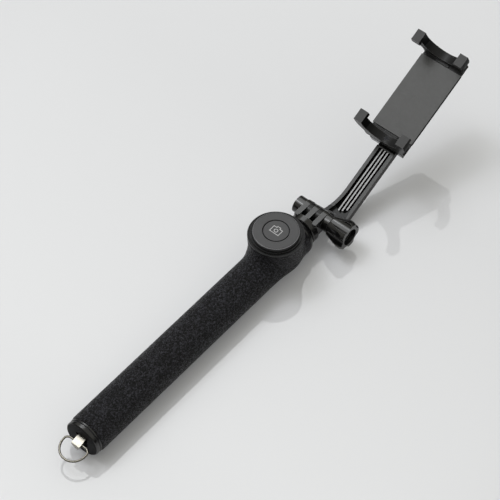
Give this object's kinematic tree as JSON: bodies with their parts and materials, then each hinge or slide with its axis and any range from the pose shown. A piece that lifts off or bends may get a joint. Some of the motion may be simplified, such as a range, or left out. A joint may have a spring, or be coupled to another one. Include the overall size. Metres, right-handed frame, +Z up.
{
  "type": "selfie stick",
  "caption": "Telescoping selfie stick with a grained grip handle, a round shutter button pod, a wrist ring, a tilting arm with a thumb knob and a sprung phone clamp.",
  "frame": {"origin": "middle of the bounding box, on the surface the handle lies on", "axes": "+X along the stick from the wrist ring to the phone clamp, +Z up on the button side, +Y to the left"},
  "size_m": [0.3284, 0.0417, 0.078],
  "materials": {
    "grip_rubber": "pebbled, matte",
    "core_plastic": "moulded, matte",
    "cap_plastic": "smooth, semi-gloss",
    "chrome_ring": "polished",
    "pod_plastic": "smooth, satin",
    "disc_plastic": "fine matte",
    "button_plastic": "fine matte",
    "board": "solder mask",
    "switch_plastic": "moulded",
    "plunger_plastic": "moulded",
    "cell_steel": "brushed",
    "clip_brass": "stamped",
    "screw_steel": "plated",
    "screw_black": "black oxide",
    "pole_metal": "black anodised",
    "bush_brass": "turned",
    "hinge_plastic": "moulded, semi-gloss",
    "arm_plastic": "moulded, satin",
    "plate_plastic": "fine satin",
    "jaw_plastic": "moulded, satin",
    "pad_rubber": "matte"
  },
  "bodies": {
    "handle": {"grip_cover": "grip_rubber", "handle_tube": "core_plastic", "end_cap": "cap_plastic", "top_bezel": "cap_plastic", "pod_base": "pod_plastic", "pod_cover": "disc_plastic", "circuit_board": "board", "tact_switch": "switch_plastic", "coin_cell": "cell_steel", "cell_clip": "clip_brass", "pod_screws": "screw_steel"},
    "pole_1": {"pole_tube_1": "pole_metal", "pole_bush_1": "bush_brass"},
    "pole_2": {"pole_tube_2": "pole_metal", "pole_bush_2": "bush_brass"},
    "pole_3": {"pole_tube_3": "pole_metal", "pole_bush_3": "bush_brass"},
    "pole_4": {"pole_tube_4": "pole_metal", "pole_bush_4": "bush_brass"},
    "head": {"pole_tube_5": "pole_metal", "pole_bush_5": "bush_brass", "pole_head": "hinge_plastic", "head_pin": "screw_steel", "hinge_nut": "screw_steel"},
    "knob": {"hinge_knob": "hinge_plastic", "hinge_bolt": "screw_steel"},
    "arm": {"arm": "arm_plastic", "arm_screws": "screw_steel", "holder_body": "arm_plastic", "face_plate": "plate_plastic", "plate_screws": "screw_steel", "lower_jaw": "jaw_plastic", "jaw_screw": "screw_black", "lower_jaw_pad": "pad_rubber", "jaw_springs": "screw_steel"},
    "upper_jaw": {"upper_jaw": "jaw_plastic", "upper_jaw_pad": "pad_rubber"},
    "button": {"shutter_button": "button_plastic"},
    "plunger": {"switch_plunger": "plunger_plastic"},
    "stud": {"ring_stud": "chrome_ring"},
    "ring": {"wrist_ring": "chrome_ring"}
  },
  "joints": [
    {"name": "pole_1_slide", "type": "slide", "parent": "handle", "child": "pole_1", "axis": [1, 0, 0], "range_m": [0, 0.13]},
    {"name": "pole_2_slide", "type": "slide", "parent": "pole_1", "child": "pole_2", "axis": [1, 0, 0], "range_m": [0, 0.13]},
    {"name": "pole_3_slide", "type": "slide", "parent": "pole_2", "child": "pole_3", "axis": [1, 0, 0], "range_m": [0, 0.13]},
    {"name": "pole_4_slide", "type": "slide", "parent": "pole_3", "child": "pole_4", "axis": [1, 0, 0], "range_m": [0, 0.13]},
    {"name": "pole_5_slide", "type": "slide", "parent": "pole_4", "child": "head", "axis": [1, 0, 0], "range_m": [0, 0.13]},
    {"name": "knob_turn", "type": "hinge", "parent": "head", "child": "knob", "pos_m": [0.04944, 0.00455, 0.014], "axis": [0, 1, 0], "continuous": true},
    {"name": "arm_tilt", "type": "hinge", "parent": "head", "child": "arm", "pos_m": [0.04944, 0.00455, 0.014], "axis": [0, -1, 0], "range_deg": [-55, 125]},
    {"name": "jaw_slide", "type": "slide", "parent": "arm", "child": "upper_jaw", "axis": [0.9063, 0, 0.4226], "range_m": [0, 0.03], "stiffness_N_per_m": 350, "springref_m": -0.006, "deforming": ["jaw_springs"]},
    {"name": "shutter_press", "type": "slide", "parent": "handle", "child": "button", "axis": [0, 0, -1], "range_m": [0, 0.0003], "stiffness_N_per_m": 2500, "springref_m": -0.0002},
    {"name": "plunger_press", "type": "slide", "parent": "handle", "child": "plunger", "axis": [0, 0, -1], "range_m": [0, 0.0003]},
    {"name": "stud_turn", "type": "hinge", "parent": "handle", "child": "stud", "pos_m": [-0.14966, 0.00455, 0.0117], "axis": [1, 0, 0], "continuous": true},
    {"name": "ring_swing", "type": "hinge", "parent": "stud", "child": "ring", "pos_m": [-0.15226, 0.00455, 0.0117], "axis": [0, 1, 0], "range_deg": [-75, 100]}
  ],
  "couplings": [
    {"joint": "plunger_press", "follows": "shutter_press", "ratio": 1}
  ]
}
